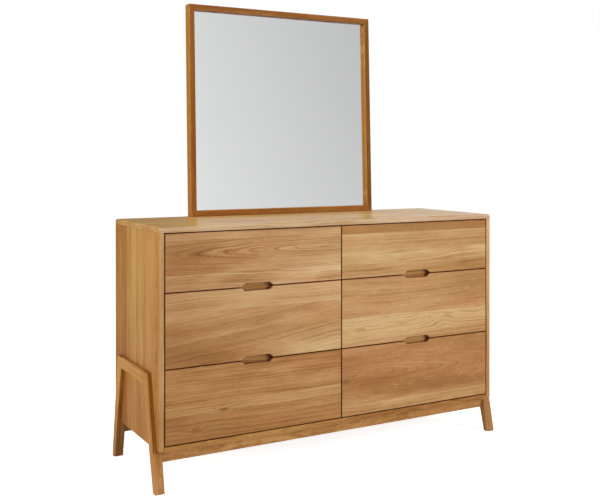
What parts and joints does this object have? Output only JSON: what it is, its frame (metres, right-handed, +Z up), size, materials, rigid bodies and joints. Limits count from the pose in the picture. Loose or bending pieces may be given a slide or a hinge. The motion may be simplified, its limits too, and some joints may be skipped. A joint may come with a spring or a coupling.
{
  "type": "dresser",
  "caption": "Low oak dresser with two columns of flush drawers, finger cut-outs for handles, splayed side trestles and a square framed mirror standing on its top.",
  "frame": {"origin": "on the floor, under the middle of the overall width and depth", "axes": "+Z up, -Y towards the person who opens the drawers, +X to that person's right"},
  "size_m": [1.43, 0.5162, 1.6908],
  "materials": {
    "oak_top": "satin lacquer",
    "oak_sides": "satin lacquer",
    "oak_fronts": "satin lacquer",
    "oak_base": "satin lacquer",
    "oak_mirror": "satin lacquer",
    "oak_inside": "matt lacquer",
    "plywood": "matt",
    "mirror_glass": "polished",
    "runner_steel": "zinc plated",
    "bolt_steel": "plated"
  },
  "bodies": {
    "carcass": {"top_panel": "oak_top", "left_side_panel": "oak_sides", "right_side_panel": "oak_sides", "bottom_panel": "oak_sides", "centre_divider": "oak_inside", "back_panel": "plywood", "back_rails": "oak_inside", "lower_front_rails": "oak_inside", "upper_front_rails": "oak_inside", "left_front_leg": "oak_base", "right_front_leg": "oak_base", "left_rear_leg": "oak_base", "right_rear_leg": "oak_base", "left_leg_rail": "oak_base", "right_leg_rail": "oak_base", "front_apron": "oak_base", "rear_apron": "oak_base", "base_bolts": "bolt_steel", "left_cabinet_runners": "runner_steel", "right_cabinet_runners": "runner_steel", "mirror_left_stile": "oak_mirror", "mirror_right_stile": "oak_mirror", "mirror_top_rail": "oak_mirror", "mirror_bottom_rail": "oak_mirror", "mirror_glass": "mirror_glass", "mirror_backing": "plywood", "mirror_supports": "oak_mirror", "mirror_screws": "bolt_steel"},
    "top_left_drawer": {"top_left_front": "oak_fronts", "top_left_box_walls": "oak_inside", "top_left_box_bottom": "plywood", "top_left_drawer_runners": "runner_steel"},
    "top_left_slides": {"top_left_middle_runners": "runner_steel"},
    "middle_left_drawer": {"middle_left_front": "oak_fronts", "middle_left_box_walls": "oak_inside", "middle_left_box_bottom": "plywood", "middle_left_drawer_runners": "runner_steel"},
    "middle_left_slides": {"middle_left_middle_runners": "runner_steel"},
    "bottom_left_drawer": {"bottom_left_front": "oak_fronts", "bottom_left_box_walls": "oak_inside", "bottom_left_box_bottom": "plywood", "bottom_left_drawer_runners": "runner_steel"},
    "bottom_left_slides": {"bottom_left_middle_runners": "runner_steel"},
    "top_right_drawer": {"top_right_front": "oak_fronts", "top_right_box_walls": "oak_inside", "top_right_box_bottom": "plywood", "top_right_drawer_runners": "runner_steel"},
    "top_right_slides": {"top_right_middle_runners": "runner_steel"},
    "middle_right_drawer": {"middle_right_front": "oak_fronts", "middle_right_box_walls": "oak_inside", "middle_right_box_bottom": "plywood", "middle_right_drawer_runners": "runner_steel"},
    "middle_right_slides": {"middle_right_middle_runners": "runner_steel"},
    "bottom_right_drawer": {"bottom_right_front": "oak_fronts", "bottom_right_box_walls": "oak_inside", "bottom_right_box_bottom": "plywood", "bottom_right_drawer_runners": "runner_steel"},
    "bottom_right_slides": {"bottom_right_middle_runners": "runner_steel"}
  },
  "joints": [
    {"name": "top_left_drawer_slide", "type": "slide", "parent": "carcass", "child": "top_left_drawer", "axis": [0, -1, 0], "range_m": [0, 0.38]},
    {"name": "top_left_runner_slide", "type": "slide", "parent": "carcass", "child": "top_left_slides", "axis": [0, -1, 0], "range_m": [0, 0.19]},
    {"name": "middle_left_drawer_slide", "type": "slide", "parent": "carcass", "child": "middle_left_drawer", "axis": [0, -1, 0], "range_m": [0, 0.38]},
    {"name": "middle_left_runner_slide", "type": "slide", "parent": "carcass", "child": "middle_left_slides", "axis": [0, -1, 0], "range_m": [0, 0.19]},
    {"name": "bottom_left_drawer_slide", "type": "slide", "parent": "carcass", "child": "bottom_left_drawer", "axis": [0, -1, 0], "range_m": [0, 0.38]},
    {"name": "bottom_left_runner_slide", "type": "slide", "parent": "carcass", "child": "bottom_left_slides", "axis": [0, -1, 0], "range_m": [0, 0.19]},
    {"name": "top_right_drawer_slide", "type": "slide", "parent": "carcass", "child": "top_right_drawer", "axis": [0, -1, 0], "range_m": [0, 0.38]},
    {"name": "top_right_runner_slide", "type": "slide", "parent": "carcass", "child": "top_right_slides", "axis": [0, -1, 0], "range_m": [0, 0.19]},
    {"name": "middle_right_drawer_slide", "type": "slide", "parent": "carcass", "child": "middle_right_drawer", "axis": [0, -1, 0], "range_m": [0, 0.38]},
    {"name": "middle_right_runner_slide", "type": "slide", "parent": "carcass", "child": "middle_right_slides", "axis": [0, -1, 0], "range_m": [0, 0.19]},
    {"name": "bottom_right_drawer_slide", "type": "slide", "parent": "carcass", "child": "bottom_right_drawer", "axis": [0, -1, 0], "range_m": [0, 0.38]},
    {"name": "bottom_right_runner_slide", "type": "slide", "parent": "carcass", "child": "bottom_right_slides", "axis": [0, -1, 0], "range_m": [0, 0.19]}
  ],
  "couplings": [
    {"joint": "top_left_runner_slide", "follows": "top_left_drawer_slide", "ratio": 0.5},
    {"joint": "middle_left_runner_slide", "follows": "middle_left_drawer_slide", "ratio": 0.5},
    {"joint": "bottom_left_runner_slide", "follows": "bottom_left_drawer_slide", "ratio": 0.5},
    {"joint": "top_right_runner_slide", "follows": "top_right_drawer_slide", "ratio": 0.5},
    {"joint": "middle_right_runner_slide", "follows": "middle_right_drawer_slide", "ratio": 0.5},
    {"joint": "bottom_right_runner_slide", "follows": "bottom_right_drawer_slide", "ratio": 0.5}
  ]
}
